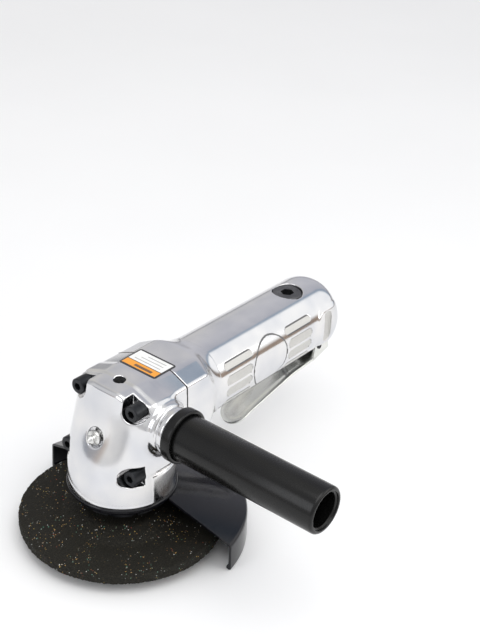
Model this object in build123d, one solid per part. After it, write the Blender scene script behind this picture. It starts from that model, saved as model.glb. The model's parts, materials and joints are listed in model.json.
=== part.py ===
"""Pneumatic angle grinder: right-angle bevel drive, vane motor, lever throttle, wheel guard and side handle.

Frame: millimetres, +Z up along the spindle, +X from the spindle towards the air inlet.
The origin is the centre of the spindle's free lower end.
"""
import os
from math import cos, pi, radians, sin, sqrt, tan

from build123d import *

# ---- driving dimensions (mm) -------------------------------------------------------------
FOOT_Z = 30.5              # foot of the gear housing, above the spindle's free end
AXIS_Z = FOOT_Z + 39.4     # motor axis
TOP_Z = FOOT_Z + 64.4      # flat top of the gear housing
JOINT_X = 23.0             # plane where gear housing and motor housing meet
GASKET = 0.4

# cross-section of both housings at their joint: half widths and heights above the foot
CROWN_HALF, CROWN_H = 14.0, 64.4
SHOULDER_HALF, SHOULDER_H = 25.2, 59.3
SILL_HALF, SILL_H = 27.8, 18.3
KEEL_HALF, KEEL_H = 21.0, 13.6

HEAD_R = 29.5              # rounded front of the gear housing
FOOT_R, FOOT_H = 29.9, 12.0
SIDE_BOSS_X, SIDE_BOSS_Z = 3.4, FOOT_Z + 44.7
BOSS_R, BOSS_END = 14.0, 31.0
SPOUT_R, SPOUT_END = 13.3, 36.0
HANDLE_THREAD_R = 3.4
SPOT_FACE_R, SPOT_FACE_Y = 8.0, 25.2     # seat for a left-hand handle on the +Y flank
GEAR_CHAMBER_H = 38.5
NIPPLE_H = 36.9

BARREL_R, GRIP_CORNER = 22.6, 19.2        # rounded-square grip: half width and corner radius
BARREL_START, FLARE_R = 56.0, 18.0
NOSE_R, NOSE_START, NOSE_LENGTH = 24.3, 159.5, 19.4
REAR_X, INLET_END = 176.5, 180.3
BORE_R = 18.0

SCREWS = [(-14.5, 19.5, 56.9, 8.2, 6.3), (-19.0, 23.3, 20.0, 8.0, 5.8)]  # face x, y, height, depth, pocket r
POCKET_REACH = 15.0        # how far a screw pocket runs on past its screw, through the wall
SCREW_HEAD_R, SCREW_HEAD_L, SCREW_R, SCREW_END_X = 4.5, 6.5, 2.5, 37.5
WASHER_T = 1.5

GROOVE_X, GROOVE_R = 101.5, 15.5
SLOT_COLUMNS = (73.4, 128.9)
SLOT_ROWS = (-31.5, -9.6, 9.6, 31.5)
SLOT_LENGTH, SLOT_WIDTH, SLOT_DEPTH = 24.0, 5.4, 0.8

VALVE_X = 143.3
REGULATOR_R = 9.0
HINGE_X, HINGE_Z = 162.4, FOOT_Z + 20.25
LEVER_TILT = 14.9
LEVER_TIP = -77.0          # along the lever, from the hinge pin
LEVER_T, LEVER_PLATE_TOP = 1.6, 5.4        # plate thickness and its top below the hinge axis
EAR_INNER, EAR_OUTER = 12.6, 14.2

GEAR_TEETH, PINION_TEETH = 35, 13
GEAR_PITCH_R, PINION_PITCH_R = 16.6, 6.2

WHEEL_R, WHEEL_T = 57.5, 6.0
GUARD_R, GUARD_T = 70.7, 1.6
GUARD_HALF_ANGLE, CLAMP_ANGLE = 80.0, 105.0
HANDLE_R, HANDLE_BORE_R, HANDLE_END = 12.85, 9.5, 132.2
PILOT_R, PILOT_L = 6.0, 3.0               # plain pilot at the spindle's free end
MOTOR_SHAFT_R = 4.0
ROTOR_R, LINER_BORE_R, LINER_OFFSET = 13.2, 14.6, 1.1
LINER_START, LINER_END = 37.5, 97.0


# ---- small helpers -----------------------------------------------------------------------
def rod_x(x0, x1, radius, y=0.0, z=AXIS_Z):
    """Round bar along X."""
    return Pos((x0 + x1) / 2, y, z) * Rot(0, 90, 0) * Cylinder(radius, x1 - x0)


def rod_y(y0, y1, radius, x, z):
    """Round bar along Y."""
    return Pos(x, (y0 + y1) / 2, z) * Rot(90, 0, 0) * Cylinder(radius, y1 - y0)


def rod_z(z0, z1, radius, x=0.0, y=0.0):
    """Round bar along Z; heights are above the foot of the gear housing."""
    return Pos(x, y, FOOT_Z + (z0 + z1) / 2) * Cylinder(radius, z1 - z0)


def block(x0, x1, y0, y1, z0, z1):
    """Box between two corners; heights are above the foot of the gear housing."""
    middle = Pos((x0 + x1) / 2, (y0 + y1) / 2, FOOT_Z + (z0 + z1) / 2)
    return middle * Box(x1 - x0, y1 - y0, z1 - z0)


def turned_x(points):
    """Solid of revolution about the motor axis from (x, radius) points joined by straight lines."""
    outline = [Vector(x, 0, AXIS_Z + radius) for x, radius in points]
    return revolve(make_face(Polyline(*outline, close=True)), Axis((0, 0, AXIS_Z), (1, 0, 0)))


def turned_z(points, angle=360):
    """Solid of revolution about the spindle from (radius, height above the foot) points."""
    outline = [Vector(radius, 0, FOOT_Z + height) for radius, height in points]
    return revolve(make_face(Polyline(*outline, close=True)), Axis.Z, angle)


def ring_x(x0, x1, inner, outer):
    return rod_x(x0, x1, outer) - rod_x(x0, x1, inner)


def ring_z(z0, z1, inner, outer):
    return rod_z(z0, z1, outer) - rod_z(z0, z1, inner)


def around_z(count, shape):
    """Copies of a shape, evenly spaced about the spindle."""
    return [Rot(0, 0, 360 * i / count) * shape for i in range(count)]


def about_motor(angle, shape):
    """A shape turned about the motor axis."""
    return Pos(0, 0, AXIS_Z) * Rot(angle, 0, 0) * Pos(0, 0, -AXIS_Z) * shape


def mirrored_pair(shape):
    return [shape, mirror(shape, Plane.XZ)]


# ---- housings ----------------------------------------------------------------------------
def joint_section(x, sill_half=SILL_HALF):
    """Outline shared by both housings, drawn in the plane at x."""
    half = [(CROWN_HALF, CROWN_H), (SHOULDER_HALF, SHOULDER_H), (sill_half, SILL_H), (KEEL_HALF, KEEL_H)]
    right = [(y, FOOT_Z + h) for y, h in half]
    left = [(-y, z) for y, z in reversed(right)]
    face = make_face(Polyline(*right, *left, close=True))
    crown = face.vertices().filter_by(lambda v: v.Y > TOP_Z - 1)
    face = fillet(crown, 9)
    sills = face.vertices().filter_by(lambda v: abs(v.Y - FOOT_Z - SILL_H) < 0.01)
    face = fillet(sills, 3.5)
    return Plane.YZ.offset(x) * face


def head_shell():
    """Front of the gear housing: a leaning round column, trimmed to the joint's outline."""
    stations = [(FOOT_H, 0.0), (26.0, 4.0), (41.0, 9.0), (CROWN_H + 2, 15.2)]
    column = loft([Pos(x, 0, FOOT_Z + h) * Circle(HEAD_R) for h, x in stations])
    prism = extrude(joint_section(-40, HEAD_R), 40 + JOINT_X - GASKET / 2)
    skirt = block(-40, 5, -40, 40, 0, KEEL_H + 6)
    return column & (prism + skirt)


def screw_cuts():
    """Pockets for the screw heads, open upwards or sideways, and clearance holes for their shanks."""
    cuts = []
    for face_x, y, h, depth, pocket_r in SCREWS:
        back = Plane.YZ.offset(face_x + depth)
        turn = 90 if h > 40 else 0
        outline = Rot(0, 0, turn) * Pos(POCKET_REACH / 2, 0) * SlotCenterToCenter(POCKET_REACH, 2 * pocket_r)
        cuts += mirrored_pair(extrude(back * Pos(y, FOOT_Z + h) * outline, -30))
        cuts += mirrored_pair(rod_x(face_x, JOINT_X + 1, SCREW_R + 0.2, y=y, z=FOOT_Z + h))
    return cuts


def handle_boss():
    """Round boss and thin spout that carry the side handle, on the -Y flank."""
    inner = -(SHOULDER_HALF - 6)
    boss = rod_y(-BOSS_END, inner, BOSS_R, SIDE_BOSS_X, SIDE_BOSS_Z)
    boss += rod_y(-SPOUT_END, inner, SPOUT_R - 1, SIDE_BOSS_X, SIDE_BOSS_Z)
    return boss + rod_y(-SPOUT_END, -BOSS_END - 1, SPOUT_R, SIDE_BOSS_X, SIDE_BOSS_Z)


def gear_housing():
    body = head_shell()
    body += extrude(joint_section(-3), 3 + JOINT_X - GASKET / 2)
    body += rod_z(0, FOOT_H + 1, FOOT_R)
    body += handle_boss()
    body -= screw_cuts()
    body -= rod_z(-1, GEAR_CHAMBER_H, 18.5)
    body -= rod_z(GEAR_CHAMBER_H - 1, 53.8, 6.5)
    body -= rod_x(0, JOINT_X + 1, 14.0)
    body -= rod_z(55.4, 70, HANDLE_THREAD_R, x=-2.7)
    body -= rod_x(-40, -10, 3.0, z=FOOT_Z + NIPPLE_H)
    body -= rod_x(-40, -20.6, 5.4, z=FOOT_Z + NIPPLE_H)
    body -= rod_y(-SPOUT_END - 1, -22, HANDLE_THREAD_R, SIDE_BOSS_X, SIDE_BOSS_Z)
    body -= rod_y(SPOT_FACE_Y, 35, SPOT_FACE_R, SIDE_BOSS_X, SIDE_BOSS_Z)
    return body - rod_y(SPOT_FACE_Y - 10, 35, HANDLE_THREAD_R, SIDE_BOSS_X, SIDE_BOSS_Z)


def housing_gasket():
    sheet = extrude(joint_section(JOINT_X - GASKET / 2), GASKET)
    sheet -= rod_x(0, 40, 14.0)
    for _, y, h, _, _ in SCREWS:
        for side in (-1, 1):
            sheet -= rod_x(0, 40, SCREW_R + 0.2, y=side * y, z=FOOT_Z + h)
    return sheet


def flare_envelope():
    """Turned shoulder that narrows the joint's outline down to the grip."""
    top = AXIS_Z + BARREL_R
    start = BARREL_START - FLARE_R
    middle = (BARREL_START - FLARE_R * sin(pi / 4), 0, top + FLARE_R * (1 - cos(pi / 4)))
    arc = ThreePointArc((start, 0, top + FLARE_R), middle, (BARREL_START, 0, top))
    close = Polyline((BARREL_START, 0, top), (BARREL_START, 0, AXIS_Z), (JOINT_X, 0, AXIS_Z),
                     (JOINT_X, 0, top + FLARE_R), (start, 0, top + FLARE_R))
    return revolve(make_face([arc, close]), Axis((0, 0, AXIS_Z), (1, 0, 0)))


def nose_envelope():
    """Turned shape that rounds off the rear end of the grip."""
    steps = [NOSE_START + (REAR_X - NOSE_START) * i / 5 for i in range(6)]
    heights = [NOSE_R * sqrt(1 - ((x - NOSE_START) / NOSE_LENGTH) ** 2) for x in steps]
    slope = (NOSE_R / NOSE_LENGTH) ** 2 * (REAR_X - NOSE_START) / heights[-1]
    nose = Spline(*[(x, 0, AXIS_Z + r) for x, r in zip(steps, heights)], tangents=[(1, 0, 0), (1, 0, -slope)])
    close = Polyline((REAR_X, 0, AXIS_Z + heights[-1]), (REAR_X, 0, AXIS_Z), (JOINT_X, 0, AXIS_Z),
                     (JOINT_X, 0, AXIS_Z + NOSE_R), (NOSE_START, 0, AXIS_Z + NOSE_R))
    return revolve(make_face([nose, close]), Axis((0, 0, AXIS_Z), (1, 0, 0)))


def grip_bar(x0, x1, inset=0.0):
    """Rounded-square bar along the motor axis."""
    width = 2 * (BARREL_R - inset)
    section = Plane.YZ.offset(x0) * Pos(0, AXIS_Z) * RectangleRounded(width, width, GRIP_CORNER - inset)
    return extrude(section, x1 - x0)


def grip_radius(angle):
    """Distance from the motor axis to the grip's surface, at an angle in degrees above the flank."""
    flat = BARREL_R - GRIP_CORNER
    lean = flat * (cos(radians(angle)) + sin(radians(angle)))
    return lean + sqrt(lean**2 + GRIP_CORNER**2 - 2 * flat**2)


def grip_recesses():
    """Shallow slots in two columns and the ring groove between them, on both flanks."""
    cuts = []
    for column in SLOT_COLUMNS:
        outward = 1 if column > GROOVE_X else -1
        for row in SLOT_ROWS:
            trim = 1.5 if abs(row) < 20 else 0.0
            cutter = extrude(SlotOverall(SLOT_LENGTH - trim, SLOT_WIDTH), 10, both=True)
            floor = grip_radius(abs(row)) - SLOT_DEPTH
            middle = Pos(column + outward * trim / 2, -floor - 10, AXIS_Z)
            cuts += mirrored_pair(about_motor(row, middle * Rot(90, 0, 0) * cutter))
    groove = rod_y(-30, 0, GROOVE_R + 0.3, GROOVE_X, AXIS_Z) - rod_y(-30, 0, GROOVE_R - 0.3, GROOVE_X, AXIS_Z)
    cuts += mirrored_pair(groove - grip_bar(60, 140, 0.5))
    return cuts


def rear_pads():
    """Flat raised pads on both rear flanks, each with an upright oval recess."""
    outline = Plane.XZ * Pos(161.0, AXIS_Z) * RectangleRounded(24.0, 25.0, 5.0)
    pad = extrude(outline, 22.1) & nose_envelope()
    recess = extrude(Plane.XZ.offset(21.1) * Pos(157.6, AXIS_Z + 0.4) * Rot(0, 0, 90) * SlotOverall(20.5, 7.0), 5)
    return mirrored_pair(pad - recess)


def ear_clearance():
    """Scallops beside the hinge lug that leave room for the lever's ears."""
    base = FOOT_Z
    edge = ThreePointArc((140.0, 0, base + 18.0), (147.0, 0, base + 23.4), (153.0, 0, base + 25.2))
    rest = Polyline((153.0, 0, base + 25.2), (182.0, 0, base + 27.6), (182.0, 0, base), (140.0, 0, base),
                    (140.0, 0, base + 18.0))
    side = extrude(make_face([edge, rest]), 20, dir=(0, -1, 0))
    return mirrored_pair(Pos(0, -EAR_INNER + 0.3, 0) * side)


def motor_housing():
    front = JOINT_X + GASKET / 2
    body = flare_envelope() & extrude(joint_section(front), BARREL_START + 2 - front)
    body += grip_bar(BARREL_START - 8, 200) & nose_envelope()
    for pad in rear_pads():
        body += pad
    body -= block(66, 154, -15, 15, 0, 39.4 - 20.4)
    body -= ear_clearance()
    body += block(157.4, 167.4, -EAR_INNER + 0.3, EAR_INNER - 0.3, 17.4, 30)
    body -= grip_recesses()
    body -= rod_x(front - 1, 110, BORE_R)
    body -= rod_x(110 - 1, 137, 6.0)
    body -= rod_z(45, 80, REGULATOR_R + 0.4, x=VALVE_X)
    body -= rod_z(28, 46, 6.5, x=VALVE_X)
    body -= rod_z(10, 29, 1.75, x=VALVE_X)
    body -= rod_x(148, 163, 5.8)
    body -= rod_x(162, 180, 9.0)
    body -= rod_y(-20, 20, 1.6, HINGE_X, HINGE_Z)
    for _, y, h, _, _ in SCREWS:
        for side in (-1, 1):
            body -= rod_x(front - 1, SCREW_END_X + 1, SCREW_R, y=side * y, z=FOOT_Z + h)
    return body


def housing_screws():
    """Four socket-head cap screws that clamp the gear housing to the motor housing."""
    screws = []
    for face_x, y, h, _, _ in SCREWS:
        for side in (-1, 1):
            place = {"y": side * y, "z": FOOT_Z + h}
            head = rod_x(face_x, face_x + SCREW_HEAD_L, SCREW_HEAD_R, **place)
            head = chamfer(head.edges().group_by(Axis.X)[0], 0.5)
            shank = rod_x(face_x + SCREW_HEAD_L - 1, SCREW_END_X, SCREW_R, **place)
            socket_place = Plane((face_x, side * y, FOOT_Z + h), x_dir=(0, 1, 0), z_dir=(1, 0, 0))
            socket = extrude(socket_place * RegularPolygon(2.3, 6), 3.0)
            screws.append(head + shank - socket)
    return Compound(children=screws)


def screw_washers():
    rings = []
    for face_x, y, h, _, _ in SCREWS:
        for side in (-1, 1):
            place = {"y": side * y, "z": FOOT_Z + h}
            start = face_x + SCREW_HEAD_L
            ring = rod_x(start, start + WASHER_T, 4.4, **place)
            rings.append(ring - rod_x(start - 1, start + 3, SCREW_R + 0.1, **place))
    return Compound(children=rings)


def grease_nipple():
    """Hydraulic grease fitting on the front of the gear housing."""
    z = FOOT_Z + NIPPLE_H
    points = [(-26.4, 0), (-26.4, 1.2), (-25.2, 2.8), (-24.4, 2.8), (-23.6, 2.0), (-22.6, 2.0),
              (-22.2, 4.2), (-20.6, 4.2), (-20.6, 2.95), (-18.7, 2.95), (-18.7, 0)]
    outline = [Vector(x, 0, z + r) for x, r in points]
    return revolve(make_face(Polyline(*outline, close=True)), Axis((0, 0, z), (1, 0, 0)))


def label_plate():
    outline = Pos(19.4, 0.5, TOP_Z) * RectangleRounded(17.8, 26.5, 1.6)
    return extrude(outline, 0.25)


# ---- side handle -------------------------------------------------------------------------
def handle_tube():
    tube = rod_y(-HANDLE_END, -42, HANDLE_R, SIDE_BOSS_X, SIDE_BOSS_Z)
    mouth = tube.edges().group_by(Axis.Y)[0]
    tube = fillet(mouth, 1.6)
    tube -= rod_y(-HANDLE_END - 1, -50, HANDLE_BORE_R, SIDE_BOSS_X, SIDE_BOSS_Z)
    return tube - rod_y(-60, -40, 3.4, SIDE_BOSS_X, SIDE_BOSS_Z)


def handle_collar():
    ring = rod_y(-43, -SPOUT_END - 0.2, 15.2, SIDE_BOSS_X, SIDE_BOSS_Z)
    ring = fillet(ring.edges().filter_by(GeomType.CIRCLE), 0.7)
    return ring - rod_y(-60, -42, HANDLE_R, SIDE_BOSS_X, SIDE_BOSS_Z) - rod_y(-45, 0, 3.9, SIDE_BOSS_X, SIDE_BOSS_Z)


def handle_stud():
    """Threaded stud that ties the handle to the gear housing."""
    stud = rod_y(-49, -24, 3.35, SIDE_BOSS_X, SIDE_BOSS_Z)
    return stud + rod_y(-41.9, -36.5, 3.85, SIDE_BOSS_X, SIDE_BOSS_Z)


# ---- bevel drive and spindle ---------------------------------------------------------------
def bevel_blank(teeth, pitch_angle, addendum, dedendum, far, near, phase):
    """Bevel teeth along +Z below an apex at the origin, between two distances from the apex."""
    tip_r = tan(radians(pitch_angle + addendum))
    root_r = tan(radians(pitch_angle - dedendum))
    pitch = 2 * pi / teeth
    outline = []
    for i in range(teeth):
        middle = (i + phase) * pitch
        for share, radius in ((-0.23, root_r), (-0.09, tip_r), (0.09, tip_r), (0.23, root_r)):
            outline.append((middle + share * pitch, radius))
    sections = []
    for distance in (far, near):
        corners = [(distance * r * cos(a), distance * r * sin(a), -distance) for a, r in outline]
        sections.append(make_face(Polyline(*corners, close=True)))
    return loft(sections, ruled=True)


def bevel_gear():
    pitch_angle = 90 - PINION_PITCH_R / GEAR_PITCH_R * 180 / pi * 0.955
    teeth = Pos(0, 0, AXIS_Z) * bevel_blank(GEAR_TEETH, pitch_angle, 1.6, 3.6, 8.2, 4.6, 0)
    gear = teeth & rod_z(28, 38, 17.3)
    gear += rod_z(26.5, 39.4 - 8.1, 17.3) + rod_z(23.5, 30, 9.0)
    gear -= rod_z(36.2, 45, 30)
    return gear - rod_z(20, 45, 5.0) - key_slot()


def key_slot():
    return block(3.2, 6.4, -1.0, 1.0, 25, 35.5)


def spindle():
    pilot_top = PILOT_L - FOOT_Z
    steps = [(PILOT_R, pilot_top), (7.0, -12), (8.4, 7.5), (6.0, 23.5), (5.0, 44.8), (4.0, 53.2)]
    outline = [(0, -FOOT_Z), (PILOT_R, -FOOT_Z)]
    for (radius, top), (next_radius, _) in zip(steps, steps[1:]):
        outline += [(radius, top), (next_radius, top)]
    return turned_z([*outline, steps[-1], (0, steps[-1][1])]) - key_slot()


def gear_key():
    return block(3.25, 6.35, -0.95, 0.95, 25.1, 35.4)


def balls(radius, centre_r, count):
    return [Pos(centre_r * cos(2 * pi * i / count), centre_r * sin(2 * pi * i / count), 0) * Sphere(radius)
            for i in range(count)]


def ball_bearing(bore_r, outer_r, width, count):
    """Deep-groove bearing about +Z: outer ring, inner ring and balls, in that order."""
    ball_r = 0.29 * (outer_r - bore_r)
    track_r = (outer_r + bore_r) / 2
    groove = Torus(track_r, ball_r + 0.12)
    outer = Cylinder(outer_r, width) - Cylinder(track_r + 0.55 * ball_r, width) - groove
    inner = Cylinder(track_r - 0.55 * ball_r, width) - Cylinder(bore_r, width) - groove
    return outer, inner, Compound(children=balls(ball_r, track_r, count))


def place_all(location, shapes):
    return [location * shape for shape in shapes]


def spindle_seal():
    return ring_z(-8.0, -4.6, 8.7, 11.9)


def bearing_cap():
    """Screwed-in carrier of the lower spindle bearing, with a notched rim for a pin spanner."""
    cap = rod_z(0, 16.5, 18.4) + rod_z(-4.5, 0, 18.2) + rod_z(-8.7, -4.3, 25.0)
    cap -= rod_z(8.0, 20, 14.0)
    cap -= rod_z(-10, 9, 8.8)
    cap -= rod_z(-8.1, -4.5, 12.0)
    notch = block(22.3, 27, -1.9, 1.9, -10, -3)
    return cap - around_z(12, notch)


def flange_plate():
    return ring_z(-2.0, -0.02, 18.6, 30.6)


# ---- wheel and guard -----------------------------------------------------------------------
def inner_flange():
    disc = turned_z([(7.02, -12), (13.8, -12), (15.0, -12.8), (15.0, -16.5), (11.1, -16.5), (11.1, -21.5),
                     (7.02, -21.5)])
    return disc


def grinding_wheel():
    """Depressed-centre abrasive disc."""
    top, hub = -21.8, -16.55
    return turned_z([(12.1, hub), (23.0, hub), (25.5, hub - 0.9), (32.5, top + 0.5), (35.5, top),
                     (WHEEL_R - 0.8, top), (WHEEL_R, top - 0.8), (WHEEL_R, top - WHEEL_T + 0.6),
                     (WHEEL_R - 0.6, top - WHEEL_T), (34.0, top - WHEEL_T), (31.0, top - WHEEL_T + 0.6),
                     (25.0, hub - WHEEL_T - 0.4), (22.0, hub - WHEEL_T), (12.1, hub - WHEEL_T)])


def wheel_bush():
    """Pressed steel ring in the wheel's bore."""
    return turned_z([(11.15, -16.6), (12.0, -16.6), (12.0, -22.6), (15.5, -22.6), (15.5, -23.1), (11.15, -23.1)])


def lock_nut():
    nut = turned_z([(7.03, -23.1), (19.0, -23.1), (20.0, -24.0), (20.0, -25.0), (19.4, -25.6), (14.0, -25.6),
                    (14.0, -27.0), (13.5, -27.5), (7.03, -27.5)])
    pin_hole = rod_z(-30, -24.2, 1.9, x=10.6)
    return nut - around_z(4, pin_hole)


def guard():
    """Sheet-steel wheel guard: full ring round the neck, sloping roof, rim and curled lower edge."""
    low = -34.6
    roof = [(28.0, -2.3), (30.2, -2.3), (GUARD_R - 1.2, -17.2), (GUARD_R, -18.6), (GUARD_R, low + 1.6),
            (GUARD_R - GUARD_T, low + 1.6), (GUARD_R - GUARD_T, -19.2), (GUARD_R - 2.1, -18.7),
            (29.8, -3.9), (28.0, -3.9)]
    shell = Rot(0, 0, -GUARD_HALF_ANGLE) * turned_z(roof, 2 * GUARD_HALF_ANGLE)
    bead_face = Plane.XZ * Pos(GUARD_R - 1.5, FOOT_Z + low + 1.5) * Circle(1.5)
    bead = Rot(0, 0, -GUARD_HALF_ANGLE) * revolve(bead_face, Axis.Z, 2 * GUARD_HALF_ANGLE)
    ear = Rot(0, 0, CLAMP_ANGLE) * block(25.7, 29.6, -6.0, 6.0, -11.0, -2.3)
    hole = Rot(0, 0, CLAMP_ANGLE) * rod_x(20, 40, 2.05, z=FOOT_Z - 7.6)
    return shell + bead + ring_z(-3.9, -2.3, 18.7, 29.9) + ear - hole


def guard_screw():
    head = rod_x(29.65, 32.2, 3.6, z=FOOT_Z - 7.6) - rod_x(30.6, 33.0, 1.8, z=FOOT_Z - 7.6)
    return Rot(0, 0, CLAMP_ANGLE) * (head + rod_x(25.8, 30, 2.0, z=FOOT_Z - 7.6))


# ---- air motor -----------------------------------------------------------------------------
def rotor():
    body = rod_x(LINER_START + 0.3, LINER_END - 0.3, ROTOR_R)
    for i in range(5):
        body -= about_motor(72 * i, block(0, 130, -0.9, 0.9, 39.4 + 6.4, 39.4 + 20))
    body += rod_x(21.2, 106.5, MOTOR_SHAFT_R) + rod_x(6.5, 22, 3.0)
    return body - rod_x(96.7, 120, 7) + rod_x(96, 106.5, 3.0)


def rotor_blades():
    blade = block(LINER_START + 0.4, LINER_END - 0.4, -0.8, 0.8, 39.4 + 6.8, 39.4 + ROTOR_R)
    return Compound(children=[about_motor(72 * i, blade) for i in range(5)])


def cylinder_liner():
    liner = rod_x(LINER_START, LINER_END, 17.9) - rod_x(30, 100, LINER_BORE_R, z=AXIS_Z + LINER_OFFSET)
    for i in range(5):
        liner -= rod_z(10, 39, 1.5, x=48 + 9 * i)
    return liner - rod_x(30, 41, 1.0, y=16.2)


def cylinder_pin():
    return rod_x(34.5, 40.9, 0.95, y=16.2)


def front_plate():
    plate = rod_x(23.4, LINER_START, 17.9) - rod_x(20, 33.4, 11.0) - rod_x(30, 40, 4.3)
    return plate - rod_x(34, 40, 1.0, y=16.2)


def rear_plate():
    plate = rod_x(LINER_END, 107.5, 17.9) - rod_x(98.6, 110, 9.5) - rod_x(90, 100, 4.3)
    return plate - [about_motor(a, rod_x(90, 110, 1.8, z=AXIS_Z + 13.6)) for a in (-35, 0, 35)]


def pinion():
    pitch_angle = PINION_PITCH_R / GEAR_PITCH_R * 180 / pi * 0.955
    teeth = bevel_blank(PINION_TEETH, pitch_angle, 2.3, 3.8, GEAR_PITCH_R, 10.2, 0)
    turned = Pos(0, 0, AXIS_Z) * Rot(0, -90, 0) * teeth
    return turned + rod_x(16.5, 20.8, 5.3) - rod_x(0, 30, 3.0)


# ---- air inlet, valve, regulator and lever ---------------------------------------------------
def inlet_bush():
    """Hexagonal inlet adapter with a pipe thread."""
    flats = Pos(0, AXIS_Z) * RegularPolygon(9.8, 6, major_radius=False)
    hexagon = extrude(Plane.YZ.offset(REAR_X) * flats, INLET_END - REAR_X)
    outer = turned_x([(REAR_X - 1, 0), (REAR_X - 1, 12.5), (INLET_END - 0.8, 12.5), (INLET_END, 10.4),
                      (INLET_END, 0)])
    bush = (hexagon & outer) + rod_x(163, REAR_X + 1, 8.95)
    return bush - rod_x(172, 190, 5.8) - rod_x(160, 173, 4.6)


def inlet_screen():
    dish = rod_x(170.8, 171.9, 4.6)
    wires = [rod_x(170, 173, 0.45, y=1.6 * i, z=AXIS_Z + 1.6 * j) for i in range(-2, 3) for j in range(-2, 3)
             if i * i + j * j < 7]
    return dish - wires


def inlet_ring():
    return Pos(162.5, 0, AXIS_Z) * Rot(0, 90, 0) * Torus(7.6, 0.45)


def exhaust_muffler():
    """Porous ring between the motor's rear plate and the housing's back wall."""
    return ring_x(107.6, 109.9, 10.0, 17.8)


def valve_seat():
    return rod_z(28.1, 31.4, 6.45, x=VALVE_X) - rod_z(20, 40, 2.2, x=VALVE_X)


def valve_pin():
    """Push rod of the valve; it stands just clear of the lever's plate."""
    drop = (HINGE_X - VALVE_X) * tan(radians(LEVER_TILT)) + LEVER_PLATE_TOP / cos(radians(LEVER_TILT))
    start = HINGE_Z - FOOT_Z - drop + 0.8
    stem = rod_z(start, 32.2, 1.7, x=VALVE_X)
    return stem + rod_z(31.6, 34.0, 4.4, x=VALVE_X) + rod_z(34.0, 37.0, 2.0, x=VALVE_X)


def valve_spring():
    path = Pos(VALVE_X, 0, FOOT_Z + 34.6) * Helix(pitch=2.3, height=9.2, radius=3.3)
    start = Plane(path @ 0, z_dir=path % 0)
    return sweep(start * Circle(0.4), path=path)


def regulator():
    """Screw-in air regulator on top of the grip, turned with a hexagon key."""
    plug = rod_z(46.2, 60.7, REGULATOR_R, x=VALVE_X)
    plug = chamfer(plug.edges().group_by(Axis.Z)[-1], 0.6)
    plug -= extrude(Pos(VALVE_X, 0, FOOT_Z + 61) * RegularPolygon(4.2, 6), -6)
    groove = Pos(VALVE_X, 0, FOOT_Z + 50) * Torus(REGULATOR_R, 0.8)
    port = rod_x(VALVE_X - 11, VALVE_X + 11, 2.0, z=FOOT_Z + 48)
    return plug - groove - port


def regulator_ring():
    return Pos(VALVE_X, 0, FOOT_Z + 50) * Torus(REGULATOR_R - 0.35, 0.4)


def lever_frame():
    """Frame of the throttle lever: x along the lever from the hinge pin, z square to its plate."""
    return Pos(HINGE_X, 0, HINGE_Z) * Rot(0, -LEVER_TILT, 0)


def lever():
    """Stamped throttle lever: tapered strip with a round tip and two hinge ears."""
    tip_r, root_x = 9.4, -24.0
    tip = Pos(LEVER_TIP + tip_r, 0) * Circle(tip_r)
    strip = make_face(Polyline((LEVER_TIP + tip_r, tip_r), (root_x, 11.5), (-7.0, EAR_OUTER), (9.0, EAR_OUTER),
                               (9.0, -EAR_OUTER), (-7.0, -EAR_OUTER), (root_x, -11.5),
                               (LEVER_TIP + tip_r, -tip_r), close=True))
    plate = extrude(Pos(0, 0, -7.0) * (tip + strip), LEVER_T)
    rib = Pos(LEVER_TIP / 2 - 6, 0, -5.55) * Box(42, 5, 0.6)
    ear_outline = make_face(Polyline((-7.5, 0, -7.0), (9.0, 0, -7.0), (9.0, 0, 2.0), (5.6, 0, 4.4), (-3.0, 0, 3.4),
                                     close=True))
    ears = [Pos(0, y, 0) * extrude(ear_outline, EAR_OUTER - EAR_INNER, dir=(0, 1, 0))
            for y in (EAR_INNER, -EAR_OUTER)]
    pressing = lever_frame() * (plate + rib + ears[0] + ears[1])
    return pressing - rod_y(-20, 20, 1.65, HINGE_X, HINGE_Z)


def lever_pin():
    return rod_y(-14.8, 14.8, 1.6, HINGE_X, HINGE_Z)


# ---- assembly ------------------------------------------------------------------------------
def bearing_nodes():
    lower = place_all(Pos(0, 0, FOOT_Z + 12.0), ball_bearing(6.0, 14.0, 8.0, 8))
    front = place_all(Pos(29.4, 0, AXIS_Z) * Rot(0, 90, 0), ball_bearing(4.0, 11.0, 7.0, 7))
    rear = place_all(Pos(101.8, 0, AXIS_Z) * Rot(0, 90, 0), ball_bearing(3.0, 9.5, 6.0, 7))
    nodes = {}
    for name, trio in (("spindle_bearing", lower), ("rotor_front_bearing", front), ("rotor_rear_bearing", rear)):
        for piece, shape in zip(("outer", "inner", "balls"), trio):
            nodes[f"{name}_{piece}"] = shape
    return nodes


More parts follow.
